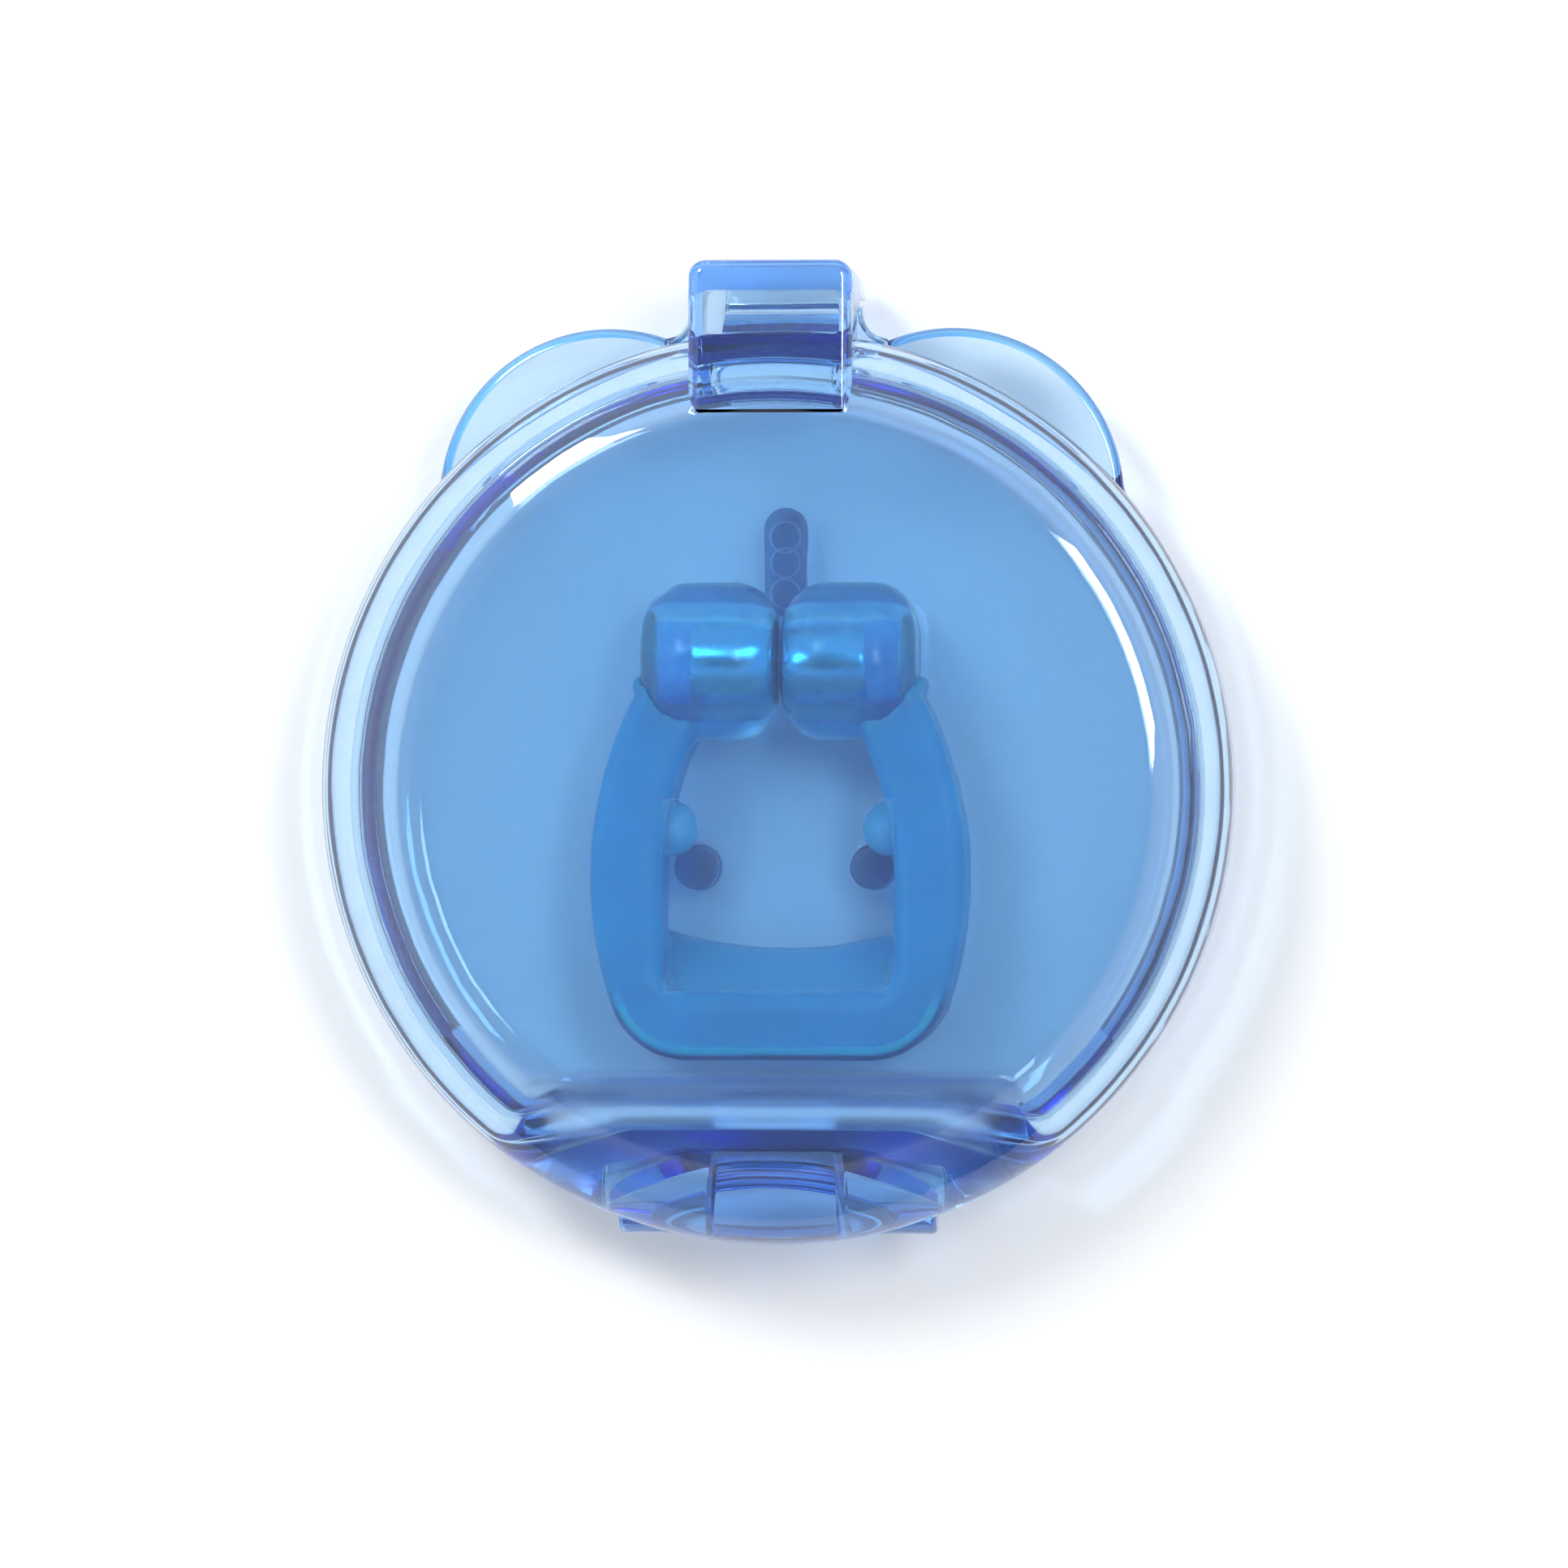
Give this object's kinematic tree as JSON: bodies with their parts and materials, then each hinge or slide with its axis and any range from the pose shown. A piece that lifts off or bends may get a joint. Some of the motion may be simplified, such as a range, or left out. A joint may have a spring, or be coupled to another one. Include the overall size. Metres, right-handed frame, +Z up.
{
  "type": "nose clip in case",
  "caption": "Soft silicone nose clip with magnets in its heads, lying in a round hinged clear case with ear tabs and a front latch tab.",
  "frame": {"origin": "middle of the case's flat underside", "axes": "+Z up through the lid, +Y towards the latch tab, +X to the right with the hinge at the back"},
  "size_m": [0.0427, 0.0458, 0.013],
  "materials": {
    "case_base": "clear blue, polished",
    "case_lid": "clear blue, polished",
    "silicone": "frosted, translucent blue",
    "magnet": "plated, satin"
  },
  "bodies": {
    "case": {"case_base": "case_base"},
    "lid": {"case_lid": "case_lid"},
    "clip_left_arm": {"clip_left": "silicone", "magnet_left": "magnet"},
    "clip_right_arm": {"clip_right": "silicone", "magnet_right": "magnet"}
  },
  "joints": [
    {"name": "lid_hinge", "type": "hinge", "parent": "case", "child": "lid", "pos_m": [0, -0.0191, 0.007], "axis": [1, 0, 0], "range_deg": [0, 150]},
    {"name": "clip_spread", "type": "hinge", "parent": "clip_left_arm", "child": "clip_right_arm", "pos_m": [0, -0.0128, 0.0053], "axis": [0, 0, -1], "range_deg": [0, 30], "stiffness_Nm_per_rad": 0.02, "springref_deg": -5.73},
    {"name": "clip_even", "type": "hinge", "parent": "case", "child": "clip_left_arm", "pos_m": [0, -0.0128, 0.0053], "axis": [0, 0, 1], "range_deg": [0, 15]}
  ],
  "couplings": [
    {"joint": "clip_even", "follows": "clip_spread", "ratio": 0.5}
  ]
}
